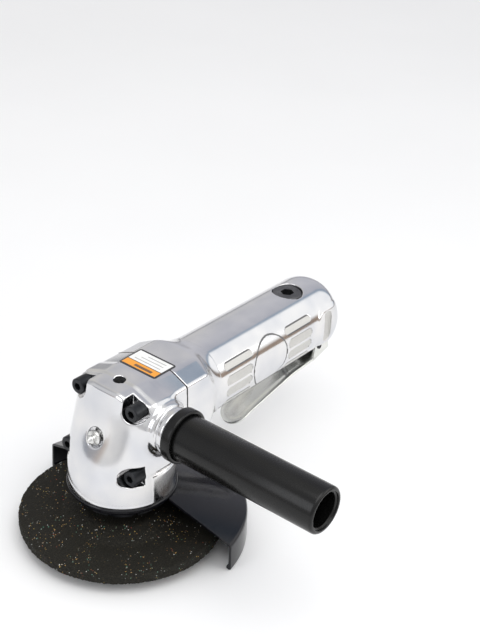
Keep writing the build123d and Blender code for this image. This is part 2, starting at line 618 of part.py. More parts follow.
NODES = {
    "gear_housing": gear_housing(),
    "housing_gasket": housing_gasket(),
    "motor_housing": motor_housing(),
    "housing_screws": housing_screws(),
    "screw_washers": screw_washers(),
    "grease_nipple": grease_nipple(),
    "label_plate": label_plate(),
    "handle_tube": handle_tube(),
    "handle_collar": handle_collar(),
    "handle_stud": handle_stud(),
    "flange_plate": flange_plate(),
    "bearing_cap": bearing_cap(),
    "spindle_seal": spindle_seal(),
    "needle_bearing": ring_z(45.0, 53.0, 4.05, 6.48),
    "spindle": spindle(),
    "bevel_gear": bevel_gear(),
    "gear_key": gear_key(),
    "inner_flange": inner_flange(),
    "grinding_wheel": grinding_wheel(),
    "wheel_bush": wheel_bush(),
    "lock_nut": lock_nut(),
    "wheel_guard": guard(),
    "guard_screw": guard_screw(),
    "rotor": rotor(),
    "rotor_blades": rotor_blades(),
    "pinion": pinion(),
    "cylinder_liner": cylinder_liner(),
    "cylinder_pin": cylinder_pin(),
    "front_end_plate": front_plate(),
    "rear_end_plate": rear_plate(),
    "exhaust_muffler": exhaust_muffler(),
    "inlet_bush": inlet_bush(),
    "inlet_screen": inlet_screen(),
    "inlet_seal_ring": inlet_ring(),
    "valve_seat": valve_seat(),
    "valve_pin": valve_pin(),
    "valve_spring": valve_spring(),
    "regulator": regulator(),
    "regulator_seal_ring": regulator_ring(),
    "throttle_lever": lever(),
    "lever_pin": lever_pin(),
    **bearing_nodes(),
}

os.makedirs("parts", exist_ok=True)
for node_name, node_shape in NODES.items():
    export_step(node_shape, f"parts/{node_name}.step")
print(len(NODES), "nodes written")
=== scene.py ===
import json
import math

import bmesh
import bpy
import numpy as np
from mathutils import Matrix, Vector


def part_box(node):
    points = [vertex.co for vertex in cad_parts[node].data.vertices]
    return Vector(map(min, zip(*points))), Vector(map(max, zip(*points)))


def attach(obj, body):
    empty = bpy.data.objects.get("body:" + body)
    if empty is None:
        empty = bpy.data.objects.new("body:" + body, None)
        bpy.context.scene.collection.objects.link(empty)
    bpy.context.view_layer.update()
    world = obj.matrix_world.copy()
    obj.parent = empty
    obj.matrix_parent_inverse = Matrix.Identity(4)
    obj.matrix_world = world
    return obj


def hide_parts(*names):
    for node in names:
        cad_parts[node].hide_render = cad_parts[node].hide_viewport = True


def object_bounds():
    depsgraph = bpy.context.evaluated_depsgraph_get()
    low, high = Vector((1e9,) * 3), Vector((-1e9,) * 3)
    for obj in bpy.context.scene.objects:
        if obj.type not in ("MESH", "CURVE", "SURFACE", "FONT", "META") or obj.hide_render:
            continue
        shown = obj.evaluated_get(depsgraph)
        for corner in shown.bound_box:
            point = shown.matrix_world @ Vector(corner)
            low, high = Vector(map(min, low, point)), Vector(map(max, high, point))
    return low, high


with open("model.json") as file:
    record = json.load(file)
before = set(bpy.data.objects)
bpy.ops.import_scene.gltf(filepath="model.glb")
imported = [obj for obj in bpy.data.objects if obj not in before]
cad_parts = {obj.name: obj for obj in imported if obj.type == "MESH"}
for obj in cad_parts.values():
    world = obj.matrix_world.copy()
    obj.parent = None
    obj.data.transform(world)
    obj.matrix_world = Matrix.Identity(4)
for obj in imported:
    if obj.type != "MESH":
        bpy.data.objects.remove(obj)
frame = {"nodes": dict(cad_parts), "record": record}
cad_low, cad_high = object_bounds()
MM = 0.001


# ---- where things are, read from the frame (mm; heights h are above the gear housing's foot) -----
def box_mm(node):
    low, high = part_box(node)
    return np.array(low) / MM, np.array(high) / MM


def middle_mm(node):
    low, high = box_mm(node)
    return (low + high) / 2


FOOT_Z = box_mm("gear_housing")[0][2]
CROWN_H = box_mm("gear_housing")[1][2] - FOOT_Z
JOINT_X = middle_mm("housing_gasket")[0]
AXIS_H = middle_mm("inlet_bush")[2] - FOOT_Z
VALVE_X = middle_mm("regulator")[0]
REGULATOR_R = (box_mm("regulator")[1][0] - box_mm("regulator")[0][0]) / 2
HINGE_X = middle_mm("lever_pin")[0]
HINGE_H = middle_mm("lever_pin")[2] - FOOT_Z
HANDLE_X = middle_mm("handle_tube")[0]
HANDLE_H = middle_mm("handle_tube")[2] - FOOT_Z
HANDLE_R = (box_mm("handle_tube")[1][0] - box_mm("handle_tube")[0][0]) / 2
HANDLE_END, HANDLE_START = box_mm("handle_tube")[0][1], box_mm("handle_tube")[1][1]
WHEEL_R = (box_mm("grinding_wheel")[1][0] - box_mm("grinding_wheel")[0][0]) / 2
NIPPLE_H = middle_mm("grease_nipple")[2] - FOOT_Z

# housing sizes that the frame's boxes don't give
GASKET_HALF = 0.2
CROWN_HALF, CROWN_FRONT_HALF = 14.0, 9.0
SHOULDER = (25.2, 59.3)
HEAD_SILL, NECK_SILL, KEEL = (29.5, 18.3), (27.8, 18.3), (21.0, 13.6)
LEAN = (-9.364e-05, 0.01028, -0.03478, -0.4003)  # head's lean: centre over height
FOOT_R, FOOT_H, SKIRT_END = 29.9, 17.6, -4.0
SPOT_FACE_Y, SPOT_FACE_R = 25.2, 8.0
TOP_HOLE_X, TOP_HOLE_FLOOR, THREAD_R = -2.7, 55.4, 3.4
GEAR_CHAMBER_R, GEAR_CHAMBER_H = 18.5, 38.5
NEEDLE_BORE_R, NEEDLE_BORE_H = 6.5, 53.8
NIPPLE_POCKET_R, NIPPLE_POCKET_X = 5.4, -18.8
NECK_BORE_R, MOTOR_BORE_R, MOTOR_BORE_END = 14.0, 18.0, 110.0
INLET_BORE_R, INLET_BORE_START = 9.0, 162.0
BARREL_R, GRIP_CORNER, BARREL_START, FLARE = 22.6, 19.2, 56.0, 18.0
NOSE_R, NOSE_START, NOSE_LENGTH, REAR_X = 24.3, 159.5, 19.4, 176.5
# screws: x of the head's face, distance from the middle plane, height, depth of the pocket, pocket radius
SCREWS = ((-14.5, 19.5, 56.9, 8.2, 6.3), (-19.0, 23.3, 20.0, 8.0, 5.8))
GROOVE_X, GROOVE_R = 101.15, 15.5
SLOT_OFFSET, SLOT_ROWS = 27.75, ((9.6, 22.5, 0.75), (31.5, 24.0, 0.0))
SLOT_HALF_WIDTH, SLOT_DEPTH = 2.7, 0.75
PAD_X, OVAL_X, OVAL_H = 161.0, 157.6, AXIS_H + 0.4
LEVER_TILT, LEVER_TIP, TIP_R = math.radians(14.9), -77.0, 9.4
EAR_INNER, EAR_OUTER = 12.6, 14.2
CLAMP_ANGLE = 105  # of the guard's clamp about the spindle, in degrees


# ---- distance fields: negative inside; all lengths in mm ------------------------------------------
def disc(a, b, radius):
    return np.hypot(a, b) - radius


def slab(value, low, high):
    return np.maximum(low - value, value - high)


def meet(a, b, radius):
    """Intersection with a rounded outer edge."""
    inner = np.minimum(np.maximum(a, b), -radius)
    return inner + np.hypot(np.maximum(a + radius, 0), np.maximum(b + radius, 0))


def blend(a, b, radius):
    """Union with a rounded inner corner."""
    outer = np.maximum(np.minimum(a, b), radius)
    return outer - np.hypot(np.maximum(radius - a, 0), np.maximum(radius - b, 0))


def carve(a, b, radius):
    """Difference with a rounded rim."""
    return meet(a, -b, radius)


def plane_through(y, h, start, end):
    """Signed distance to the line from start to end (outside on its left) and the line's outward normal."""
    run, rise = end[0] - start[0], end[1] - start[1]
    size = np.hypot(run, rise)
    normal = (-rise / size, run / size)
    return (y - start[0]) * normal[0] + (h - start[1]) * normal[1], normal


def fillet_corner(a, b, cosine, radius):
    """Intersection of two half spaces whose normals meet at the given cosine, with a true fillet."""
    u, v = a + radius, b + radius
    sine = np.sqrt(1 - cosine**2)
    arc = np.sqrt(np.maximum(u * u + v * v - 2 * cosine * u * v, 0)) / sine - radius
    return np.where((u > cosine * v) & (v > cosine * u), arc, np.maximum(a, b))


def convex_field(y, h, path, radii):
    """Distance to a convex outline given clockwise; each radius rounds the corner between two lines."""
    field, normal = plane_through(y, h, path[0], path[1])
    for start, end, radius in zip(path[1:], path[2:], radii):
        plane, turned = plane_through(y, h, start, end)
        cosine = normal[0] * turned[0] + normal[1] * turned[1]
        field = fillet_corner(field, plane, cosine, radius)
        normal = turned
    return field


def outline_field(y, h, crown_half, sill, keel=KEEL):
    """The joint's cross-section: crowned top, sloping shoulders, flared sides and narrow keel."""
    path = [(-5.0, CROWN_H), (crown_half, CROWN_H), SHOULDER, sill, keel, (-5.0, keel[1])]
    return convex_field(y, h, path, (9.0, 2.0, 3.5, 2.0))


def column_field(x, y, h):
    """Leaning front of the gear housing; its plan turns from round at the foot to squarer at the top."""
    level = np.clip(h, -1.0, CROWN_H + 3)
    centre = np.polyval(LEAN, level)
    rise = level / CROWN_H
    power = 2.06 + 0.84 * np.clip(rise, 0, 1)
    dip = 0.8 * np.exp(-((h - NIPPLE_H) / 9.0) ** 2 - (y / 11.0) ** 2)
    radius = 29.9 - 0.4 * np.clip(rise * 3, 0, 1) - np.where(x < centre, dip, 0.0)
    across = (np.abs(x - centre) / radius) ** power + (np.abs(y) / radius) ** power
    return (across ** (1 / power) - 1) * radius * 0.97


def handle_boss_field(x, y, h):
    """Filleted round boss with a thin turned spout, on the handle's side only."""
    out = -y
    around = disc(x - HANDLE_X, h - HANDLE_H, 0.0)
    boss = meet(around - 14.0, out - 31.0, 2.6)
    boss = meet(boss, 12 - out, 1)
    spout = meet(around - 13.3, slab(out, 32.3, 36.0), 0.9)
    throat = np.maximum(around - 12.3, slab(out, 20.0, 35.5))
    return boss, blend(spout, throat, 0.4)


def gear_housing_field(x, y, h):
    side = np.abs(y)
    taper = np.clip((JOINT_X - x) / 38.0, 0, 1)
    crown = CROWN_HALF + (CROWN_FRONT_HALF - CROWN_HALF) * taper
    skirt_sill = (SHOULDER[0] + 0.104 * (SHOULDER[1] + 6), -6.0)
    skirt = outline_field(side, h, crown, skirt_sill, (21.0, -7.0))
    head = meet(column_field(x, y, h), skirt, 2.2)
    head = meet(head, disc(x, y, FOOT_R), 0.25)
    head = meet(meet(head, x - SKIRT_END, 0.6), -h, 0.4)
    neck = meet(outline_field(side, h, crown, NECK_SILL), -2.0 - x, 1.0)
    bulge = meet(column_field(x, y, h), outline_field(side, h, crown, HEAD_SILL), 2.2)
    d = blend(meet(bulge, x - 10.0, 4.0), neck, 2.0)
    d = blend(d, head, 0.5)
    band = np.where(x > SKIRT_END - 3, FOOT_H, 2.8 + 2.4 * np.clip(y / 15, -0.6, 1))
    foot = meet(disc(x, y, FOOT_R), slab(h, 0, band), 0.4)
    d = blend(d, foot, 0.4)
    boss, spout = handle_boss_field(x, y, h)
    d = np.minimum(blend(d, boss, 4.5), spout)
    d = carve(d, np.maximum(JOINT_X - GASKET_HALF - x, 13.0 - h), 0.35)
    for face_x, screw_y, screw_h, depth, pocket_r in SCREWS:
        across, above = side - screw_y, h - screw_h
        if screw_h > 40:
            mouth = np.maximum(np.abs(across) - pocket_r, -above)
        else:
            mouth = np.maximum(np.abs(above) - pocket_r, -across)
        pocket = np.minimum(disc(across, above, pocket_r), mouth)
        d = carve(d, np.maximum(pocket, x - face_x - depth), 0.45)
    d = carve(d, np.maximum(disc(y, h - NIPPLE_H, NIPPLE_POCKET_R), x - NIPPLE_POCKET_X), 0.8)
    d = carve(d, np.maximum(disc(x - TOP_HOLE_X, y, THREAD_R), TOP_HOLE_FLOOR - h), 0.45)
    thread = disc(x - HANDLE_X, h - HANDLE_H, THREAD_R)
    d = carve(d, np.maximum(thread, np.minimum(22.0 + y, SPOT_FACE_Y - 10 - y)), 0.4)
    d = carve(d, np.maximum(disc(x - HANDLE_X, h - HANDLE_H, SPOT_FACE_R), SPOT_FACE_Y - y), 0.4)
    d = carve(d, np.maximum(disc(x, y, GEAR_CHAMBER_R), h - GEAR_CHAMBER_H), 0.3)
    d = carve(d, np.maximum(disc(x, y, NEEDLE_BORE_R), h - NEEDLE_BORE_H), 0.2)
    return carve(d, np.maximum(disc(y, h - AXIS_H, NECK_BORE_R), -x), 0.3)


def grip_section_field(y, up):
    """Rounded-square cross-section of the grip."""
    flat = BARREL_R - GRIP_CORNER
    return np.hypot(np.maximum(np.abs(y) - flat, 0), np.maximum(np.abs(up) - flat, 0)) - GRIP_CORNER


def grip_radius(angle):
    """Distance from the motor axis to the grip's surface, at an angle above the flank."""
    flat = BARREL_R - GRIP_CORNER
    lean = flat * (math.cos(angle) + math.sin(angle))
    return lean + math.sqrt(lean**2 + GRIP_CORNER**2 - 2 * flat**2)


def nose_field(x, axial):
    """Elliptical rounding of the rear end."""
    past = np.maximum(x - NOSE_START, 0) / NOSE_LENGTH
    return (np.hypot(past, axial / NOSE_R) - 1) * NOSE_R * 0.9


def barrel_field(x, y, up):
    """Flare from the joint's outline, straight grip and rounded rear end."""
    section = grip_section_field(y, up)
    flare = FLARE - np.hypot(np.minimum(x - BARREL_START, 0), section - FLARE)
    return np.where(x < BARREL_START, flare, meet(section, nose_field(x, np.hypot(y, up)), 3.0))


def slot_field(x, side, up):
    """Distance to the nearest grip slot, seen square to the barrel's surface."""
    nearest = None
    for row, length, shift in SLOT_ROWS:
        angle = math.radians(row)
        along = np.abs(np.abs(x - GROOVE_X) - SLOT_OFFSET - shift) - length / 2 + SLOT_HALF_WIDTH
        across = -side * math.sin(angle) + up * math.cos(angle)
        capsule = np.hypot(np.maximum(along, 0), across) - SLOT_HALF_WIDTH
        outward = side * math.cos(angle) + up * math.sin(angle)
        pocket = np.maximum(capsule, grip_radius(angle) - SLOT_DEPTH - outward)
        nearest = pocket if nearest is None else np.minimum(nearest, pocket)
    return nearest


def oval_field(x, side, h):
    capsule = np.hypot(x - OVAL_X, np.maximum(np.abs(h - OVAL_H) - 6.75, 0)) - 3.5
    return np.maximum(capsule, 21.1 - side)


def motor_housing_field(x, y, h):
    side, up = np.abs(y), h - AXIS_H
    axial = np.hypot(y, up)
    d = meet(outline_field(side, h, CROWN_HALF, NECK_SILL), barrel_field(x, y, up), 2.2)
    d = meet(d, x - REAR_X, 1.2)
    pad_x = np.maximum(np.abs(x - PAD_X) - 7.0, 0)
    pad_h = np.maximum(np.abs(up) - 7.5, 0)
    pad = meet(np.hypot(pad_x, pad_h) - 5.0, side - 22.1, 1.0)
    pad = meet(np.maximum(pad, 15 - side), nose_field(x, axial), 1.5)
    d = blend(d, pad, 1.2)
    d = carve(d, np.maximum(h - 19.0, slab(x, 66.0, 154.0)), 0.8)
    front_arc = (np.hypot((x - 153.0) / 13.0, (h - 17.0) / 8.2) - 1) * 8.0
    ledge = h - 25.2 - 0.083 * (x - 153.0)
    scallop = np.where(x < 153.0, front_arc, ledge)
    d = carve(d, np.maximum(scallop, EAR_INNER - 0.3 - side), 0.6)
    lug = meet(slab(x, 157.4, 167.4), side - EAR_INNER + 0.3, 0.6)
    d = blend(d, meet(lug, slab(h, 17.4, 30.0), 1.5), 0.6)
    flank = np.abs(up)
    d = carve(d, np.minimum(slot_field(x, side, flank), slot_field(x, side, -flank)), 0.4)
    ring = np.abs(disc(x - GROOVE_X, up, GROOVE_R)) - 0.36
    d = carve(d, np.maximum(ring, -0.6 - grip_section_field(y, up)), 0.1)
    d = carve(d, oval_field(x, side, h), 0.5)
    d = carve(d, np.maximum(disc(x - VALVE_X, y, REGULATOR_R + 0.4), 45.0 - h), 0.3)
    d = carve(d, np.maximum(disc(x - VALVE_X, y, 1.75), h - 30.0), 0.3)
    d = carve(d, np.maximum(axial - INLET_BORE_R, INLET_BORE_START - x), 0.3)
    d = carve(d, disc(x - HINGE_X, h - HINGE_H, 1.6), 0.2)
    d = carve(d, np.maximum(axial - MOTOR_BORE_R, x - MOTOR_BORE_END), 0.3)
    return meet(d, JOINT_X + GASKET_HALF - x, 0.35)


def lever_field(x, y, h):
    """Stamped lever: tapered strip with a round tip, dished middle and two hinge ears."""
    along = (x - HINGE_X) * math.cos(LEVER_TILT) + (h - HINGE_H) * math.sin(LEVER_TILT)
    lift = (h - HINGE_H) * math.cos(LEVER_TILT) - (x - HINGE_X) * math.sin(LEVER_TILT)
    side = np.abs(y)
    half = np.interp(along, (LEVER_TIP + TIP_R, -24.0, -7.0), (TIP_R, 11.5, EAR_OUTER))
    tip = disc(along - LEVER_TIP - TIP_R, y, TIP_R)
    edge = np.where(along < LEVER_TIP + TIP_R, tip, (side - half) * 0.97)
    dish = 0.5 / (1 + np.exp(-(-edge - 3.2) / 0.45))
    droop = 0.012 * np.clip(LEVER_TIP + 16 - along, 0, 20) ** 2
    level = lift + 6.2 + dish + droop
    plate = meet(meet(edge, along - 9.0, 0.5), np.abs(level) - 0.8, 0.55)
    ear = meet(-7.0 - lift, along - 9.0, 1.0)
    path = [(-7.5, -7.0), (-3.0, 3.4), (5.6, 4.4), (9.0, 2.0), (9.0, -9.0)]
    ear = meet(ear, convex_field(along, lift, path, (2.0, 2.0, 2.0)), 0.2)
    ear = meet(ear, slab(side, EAR_INNER, EAR_OUTER), 0.4)
    d = blend(plate, ear, 0.8)
    return carve(d, np.maximum(disc(along, lift, 1.65), 12 - side), 0.15)


# ---- from a field to a mesh ---------------------------------------------------------------------
CORNERS = np.array([(i, j, k) for i in (0, 1) for j in (0, 1) for k in (0, 1)])
CELL_EDGES = [(a, b) for a in range(8) for b in range(a + 1, 8) if np.abs(CORNERS[a] - CORNERS[b]).sum() == 1]


def sample(field, low, step, shape, coarse=3):
    """Field values on a grid: exact near the surface, a coarse estimate of them elsewhere."""
    rough_shape = [n // coarse + 2 for n in shape]
    axes = [low[i] + step * coarse * np.arange(rough_shape[i]) for i in range(3)]
    rough = field(*np.meshgrid(*axes, indexing="ij"))
    values = rough
    for axis in range(3):
        values = np.repeat(values, coarse, axis=axis)
    values = values[: shape[0], : shape[1], : shape[2]].copy()
    near = np.argwhere(np.abs(values) < step * coarse * 2.1)
    points = low + step * near
    values[tuple(near.T)] = field(points[:, 0], points[:, 1], points[:, 2])
    return values


def settle(field, points, step, rounds=3):
    """Moves points onto the surface of the field."""
    small = step * 0.05
    for _ in range(rounds):
        here = field(*points.T)
        slope = np.empty_like(points)
        for axis in range(3):
            shift = np.zeros(3)
            shift[axis] = small
            slope[:, axis] = (field(*(points + shift).T) - field(*(points - shift).T)) / (2 * small)
        size = np.maximum((slope**2).sum(1), 0.2)
        move = slope * (here / size)[:, None]
        length = np.linalg.norm(move, axis=1)
        limit = np.minimum(1, 0.35 * step / np.maximum(length, 1e-9))
        points = points - move * limit[:, None]
    return points


def surface_of(field, low, high, step):
    """Vertices and quads of the field's zero surface (one vertex per crossed cell)."""
    low = np.array(low, float)
    shape = [int(math.ceil(n)) + 1 for n in (np.array(high) - low) / step]
    values = sample(field, low, step, shape)
    inside = values < 0
    cells = np.zeros([n - 1 for n in shape], int)
    for i, j, k in CORNERS:
        cells += inside[i : shape[0] - 1 + i, j : shape[1] - 1 + j, k : shape[2] - 1 + k]
    active = np.argwhere((cells > 0) & (cells < 8))
    corner_values = np.stack([values[tuple((active + c).T)] for c in CORNERS], 1)
    total, count = np.zeros((len(active), 3)), np.zeros(len(active))
    for a, b in CELL_EDGES:
        first, second = corner_values[:, a], corner_values[:, b]
        crossed = (first < 0) != (second < 0)
        share = np.where(crossed, first / np.where(crossed, first - second, 1), 0)
        place = CORNERS[a] + share[:, None] * (CORNERS[b] - CORNERS[a])
        total += place * crossed[:, None]
        count += crossed
    points = low + step * (active + total / count[:, None])
    number = np.full(cells.shape, -1)
    number[tuple(active.T)] = np.arange(len(active))
    quads = []
    for axis in range(3):
        ahead = [slice(1, -1)] * 3
        ahead[axis] = slice(0, shape[axis] - 1)
        behind = list(ahead)
        behind[axis] = slice(1, shape[axis])
        start, end = inside[tuple(ahead)], inside[tuple(behind)]
        crossing = np.argwhere(start != end)
        crossing += [0 if i == axis else 1 for i in range(3)]
        flip = inside[tuple(crossing.T)]
        u, v = np.eye(3, dtype=int)[(axis + 1) % 3], np.eye(3, dtype=int)[(axis + 2) % 3]
        ring = [crossing - u - v, crossing - v, crossing, crossing - u]
        quad = np.stack([number[tuple(c.T)] for c in ring], 1)
        quad[~flip] = quad[~flip][:, ::-1]
        quads.append(quad)
    return settle(field, points, step), np.concatenate(quads)


def mesh_object(name, points_mm, faces, body, smooth=True):
    """A mesh piece from points in mm whose height is measured from the foot."""
    mesh = bpy.data.meshes.new(name)
    points = np.array(points_mm, float) * MM
    points[:, 2] += FOOT_Z * MM
    mesh.from_pydata(points.tolist(), [], [list(f) for f in faces])
    mesh.update()
    mesh.polygons.foreach_set("use_smooth", [smooth] * len(mesh.polygons))
    piece = bpy.data.objects.new(name, mesh)
    bpy.context.scene.collection.objects.link(piece)
    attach(piece, body)
    return piece


def field_object(name, field, low, high, step, body):
    points, quads = surface_of(field, low, high, step)
    return mesh_object(name, points, quads.tolist(), body), points, quads


# ---- turned pieces --------------------------------------------------------------------------------
def rounded(points, segments=4):
    """A closed or open outline whose (a, b, radius) corners are replaced with arcs."""
    result = []
    count = len(points)
    for i, (a, b, radius) in enumerate(points):
        here = np.array((a, b), float)
        if radius <= 0:
            result.append(here)
            continue
        before = np.array(points[i - 1][:2], float) - here
        after = np.array(points[(i + 1) % count][:2], float) - here
        before /= np.linalg.norm(before)
        after /= np.linalg.norm(after)
        half = math.acos(float(np.clip(before @ after, -1, 1))) / 2
        reach = radius / math.tan(half)
        centre = here + (before + after) / np.linalg.norm(before + after) * radius / math.sin(half)
        start, end = here + before * reach - centre, here + after * reach - centre
        sweep = math.pi - 2 * half
        for s in range(segments + 1):
            t = s / segments
            a_part = math.sin((1 - t) * sweep) / math.sin(sweep)
            b_part = math.sin(t * sweep) / math.sin(sweep)
            result.append(centre + start * a_part + end * b_part)
    return result


def turned(name, outline, body, axis="z", centre=(0, 0, 0), count=128, span=None, segments=4):
    """Turns a closed (radius, along, corner radius) outline about an axis; span in degrees for a part turn."""
    profile = rounded(outline, segments)
    full = span is None
    start, end = (0.0, 2 * math.pi) if full else (math.radians(span[0]), math.radians(span[1]))
    steps = count if full else count + 1
    angles = [start + (end - start) * i / count for i in range(steps)]
    points = []
    for angle in angles:
        c, s = math.cos(angle), math.sin(angle)
        for radius, along in profile:
            spot = {"z": (radius * c, radius * s, along), "x": (along, radius * c, radius * s),
                    "y": (radius * s, along, radius * c)}[axis]
            points.append([spot[i] + centre[i] for i in range(3)])
    n = len(profile)
    faces = []
    for i in range(count):
        first, second = i * n, ((i + 1) % steps) * n
        for j in range(n):
            k = (j + 1) % n
            faces.append((first + j, second + j, second + k, first + k))
    if not full:
        faces.append(tuple(range(n)))
        faces.append(tuple(range((steps - 1) * n, steps * n))[::-1])
    piece = mesh_object(name, points, faces, body)
    tidy_mesh(piece)
    return piece


def tidy_mesh(piece):
    """Merges doubled points on an axis and turns all faces outwards."""
    work = bmesh.new()
    work.from_mesh(piece.data)
    bmesh.ops.remove_doubles(work, verts=work.verts, dist=1e-7)
    bmesh.ops.recalc_face_normals(work, faces=work.faces)
    work.to_mesh(piece.data)
    work.free()


def sharp_by_angle(piece, degrees):
    """Smooth shading that keeps edges steeper than the angle crisp."""
    mesh = piece.data
    mesh.polygons.foreach_set("use_smooth", [True] * len(mesh.polygons))
    work = bmesh.new()
    work.from_mesh(mesh)
    for edge in work.edges:
        angle = edge.calc_face_angle(0.0) if len(edge.link_faces) == 2 else math.pi
        edge.smooth = angle < math.radians(degrees)
    work.to_mesh(mesh)
    work.free()


# ---- materials --------------------------------------------------------------------------------------
class Recipe:
    """Builds one node material around a Principled shader."""

    def __init__(self, name, metallic=0.0, roughness=0.4, **sockets):
        self.material = bpy.data.materials.new(name)
        self.material.use_nodes = True
        self.tree = self.material.node_tree
        self.shader = self.tree.nodes["Principled BSDF"]
        self.shader.inputs["Metallic"].default_value = metallic
        self.shader.inputs["Roughness"].default_value = roughness
        for key, value in sockets.items():
            self.shader.inputs[key.replace("_", " ")].default_value = value
        self.place = self.node("ShaderNodeTexCoord").outputs["Object"]

    def node(self, kind, **settings):
        made = self.tree.nodes.new(kind)
        for key, value in settings.items():
            setattr(made, key, value)
        return made

    def link(self, source, target):
        self.tree.links.new(source, target)

    def stretched(self, scale):
        mapping = self.node("ShaderNodeMapping")
        mapping.inputs["Scale"].default_value = scale
        self.link(self.place, mapping.inputs["Vector"])
        return mapping.outputs["Vector"]

    def noise(self, scale, detail=3.0, rough=0.5, where=None):
        made = self.node("ShaderNodeTexNoise")
        made.inputs["Scale"].default_value = scale
        made.inputs["Detail"].default_value = detail
        made.inputs["Roughness"].default_value = rough
        self.link(where or self.place, made.inputs["Vector"])
        return made.outputs["Fac"]

    def ramp(self, value, stops):
        made = self.node("ShaderNodeValToRGB")
        elements = made.color_ramp.elements
        while len(elements) < len(stops):
            elements.new(0.5)
        for element, (position, colour) in zip(elements, stops):
            element.position = position
            element.color = (*colour, 1.0)
        self.link(value, made.inputs["Fac"])
        return made.outputs["Color"]

    def level(self, value, low, high, from_low=0.3, from_high=0.7):
        made = self.node("ShaderNodeMapRange")
        made.inputs["From Min"].default_value = from_low
        made.inputs["From Max"].default_value = from_high
        made.inputs["To Min"].default_value = low
        made.inputs["To Max"].default_value = high
        self.link(value, made.inputs["Value"])
        return made.outputs["Result"]

    def maths(self, operation, a, b):
        made = self.node("ShaderNodeMath", operation=operation)
        for socket, value in zip(made.inputs, (a, b)):
            if isinstance(value, (int, float)):
                socket.default_value = value
            else:
                self.link(value, socket)
        return made.outputs["Value"]

    def mix(self, share, a, b):
        made = self.node("ShaderNodeMix", data_type="RGBA")
        for name, value in ((0, share), (6, a), (7, b)):
            socket = made.inputs[name]
            if isinstance(value, (int, float)):
                socket.default_value = value
            elif isinstance(value, tuple):
                socket.default_value = (*value, 1.0)
            else:
                self.link(value, socket)
        return made.outputs[2]

    def bump(self, height, strength, distance_mm):
        made = self.node("ShaderNodeBump")
        made.inputs["Strength"].default_value = strength
        made.inputs["Distance"].default_value = distance_mm * MM
        self.link(height, made.inputs["Height"])
        before = self.shader.inputs["Normal"].links
        if before:
            self.link(before[0].from_socket, made.inputs["Normal"])
        self.link(made.outputs["Normal"], self.shader.inputs["Normal"])

    def colour(self, value):
        self.link(value, self.shader.inputs["Base Color"])

    def roughness(self, value):
        self.link(value, self.shader.inputs["Roughness"])


def grained(name, noise, colours, bump, rough=None, stretch=None, **shader):
    """A material whose colour, and roughness if given, follow one fine grain."""
    r = Recipe(name, **shader)
    grain = r.noise(*noise, where=r.stretched(stretch) if stretch else None)
    r.colour(r.ramp(grain, [(0.3, colours[0]), (0.7, colours[1])]))
    if rough:
        r.roughness(r.level(grain, *rough))
    r.bump(grain, *bump)
    return r.material


def polished_aluminium():
    r = Recipe("polished_aluminium", metallic=1.0)
    broad = r.noise(45.0, 2.0)
    fine = r.noise(1500.0, 4.0, 0.6, r.stretched((1.0, 3.0, 3.0)))
    r.colour(r.ramp(broad, [(0.3, (0.63, 0.64, 0.67)), (0.7, (0.80, 0.79, 0.78))]))
    r.roughness(r.level(fine, 0.09, 0.17))
    r.bump(r.noise(70.0, 2.0), 0.10, 0.30)
    r.bump(fine, 0.03, 0.03)
    return r.material


def black_oxide():
    r = Recipe("black_oxide_steel", metallic=0.7)
    grain = r.noise(1800.0, 4.0, 0.6)
    broad = r.noise(160.0, 2.0)
    r.colour(r.ramp(broad, [(0.3, (0.012, 0.013, 0.015)), (0.7, (0.038, 0.040, 0.044))]))
    r.roughness(r.level(grain, 0.28, 0.45))
    r.bump(grain, 0.12, 0.08)
    return r.material


def gloss_enamel():
    r = Recipe("black_enamel", Specular_IOR_Level=0.38)
    r.colour(r.ramp(r.noise(30.0), [(0.3, (0.0035, 0.0035, 0.005)), (0.7, (0.007, 0.007, 0.010))]))
    r.roughness(r.level(r.noise(300.0), 0.10, 0.17))
    r.bump(r.noise(150.0, 2.0), 0.03, 0.10)
    return r.material


def satin_black():
    r = Recipe("satin_black_handle", Specular_IOR_Level=0.32)
    grain = r.noise(1400.0, 4.0, 0.6)
    r.colour(r.ramp(r.noise(60.0), [(0.3, (0.0022, 0.0022, 0.0022)), (0.7, (0.0045, 0.0045, 0.0044))]))
    r.roughness(r.level(grain, 0.20, 0.30))
    r.bump(grain, 0.04, 0.05)
    return r.material


def bright_steel():
    r = Recipe("bright_steel", metallic=1.0)
    fine = r.noise(1600.0, 4.0, 0.6)
    r.colour(r.ramp(r.noise(200.0), [(0.3, (0.62, 0.62, 0.60)), (0.7, (0.80, 0.80, 0.79))]))
    r.roughness(r.level(fine, 0.14, 0.28))
    r.bump(fine, 0.08, 0.05)
    return r.material


def brushed_lever():
    r = Recipe("brushed_lever_steel", metallic=1.0)
    lines = r.noise(1300.0, 5.0, 0.7, r.stretched((0.06, 1.0, 1.0)))
    broad = r.noise(35.0, 2.0)
    r.colour(r.ramp(broad, [(0.3, (0.66, 0.67, 0.64)), (0.7, (0.80, 0.80, 0.77))]))
    r.roughness(r.level(lines, 0.16, 0.28))
    r.bump(lines, 0.07, 0.04)
    return r.material


def dark_satin_metal():
    r = Recipe("regulator_steel", metallic=0.9)
    rings = r.noise(1500.0, 4.0, 0.6)
    r.colour(r.ramp(r.noise(150.0), [(0.3, (0.08, 0.08, 0.085)), (0.7, (0.16, 0.16, 0.165))]))
    r.roughness(r.level(rings, 0.24, 0.38))
    r.bump(rings, 0.1, 0.06)
    return r.material


